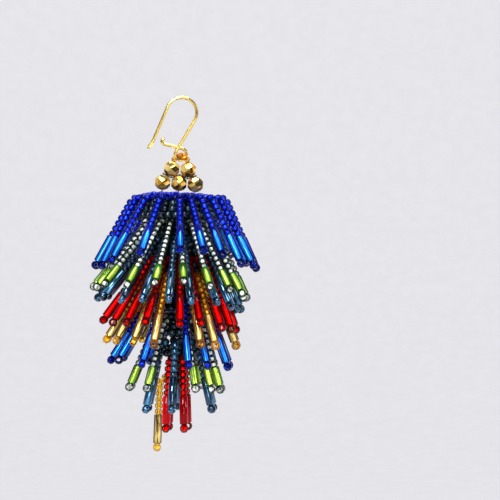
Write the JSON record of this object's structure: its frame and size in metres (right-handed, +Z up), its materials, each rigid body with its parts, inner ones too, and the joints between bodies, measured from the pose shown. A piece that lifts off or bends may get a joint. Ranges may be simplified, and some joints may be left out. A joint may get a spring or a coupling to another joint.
{
  "type": "beaded tassel earring",
  "caption": "Drop earring on a bent gold ear wire, with faceted gold beads above a long tassel of bead strands in coloured tiers.",
  "frame": {"origin": "inside top of the ear wire's hoop, where the earring hangs", "axes": "+Z up, -Y towards the viewer of the earring's face, +X to the viewer's right"},
  "size_m": [0.0428, 0.049, 0.0889],
  "materials": {
    "gold_wire": "polished gold plate",
    "amber_seed": "glossy, silver lined",
    "gold_bead": "metal-coated faceted glass",
    "thread": "waxed thread",
    "stem_beadwork": "stitched seed beads",
    "cobalt_glass": "glossy, silver lined",
    "lime_glass": "glossy, silver lined",
    "steel_blue_glass": "metallic gloss",
    "ruby_glass": "glossy, silver lined",
    "honey_glass": "glossy, silver lined"
  },
  "bodies": {
    "wire": {"ear_wire": "gold_wire"},
    "drop": {"bead_loop": "amber_seed", "gold_bead_upper_left": "gold_bead", "gold_bead_upper_right": "gold_bead", "gold_bead_lower_left": "gold_bead", "gold_bead_lower_mid": "gold_bead", "gold_bead_lower_right": "gold_bead", "bead_thread": "thread", "stem": "stem_beadwork", "tier_1_cobalt": "cobalt_glass", "tier_2_green": "lime_glass", "tier_3_steel": "steel_blue_glass", "tier_4_red": "ruby_glass", "tier_5_gold": "honey_glass", "tier_6_cobalt": "cobalt_glass", "tier_7_green": "lime_glass", "tier_8_steel": "steel_blue_glass", "tier_9_red": "ruby_glass", "tier_10_gold": "honey_glass"}
  },
  "joints": [
    {"name": "drop_swing", "type": "hinge", "parent": "wire", "child": "drop", "pos_m": [-0.00027, 0.00071, -0.01521], "axis": [1, 0, 0], "range_deg": [-30, 30]}
  ]
}
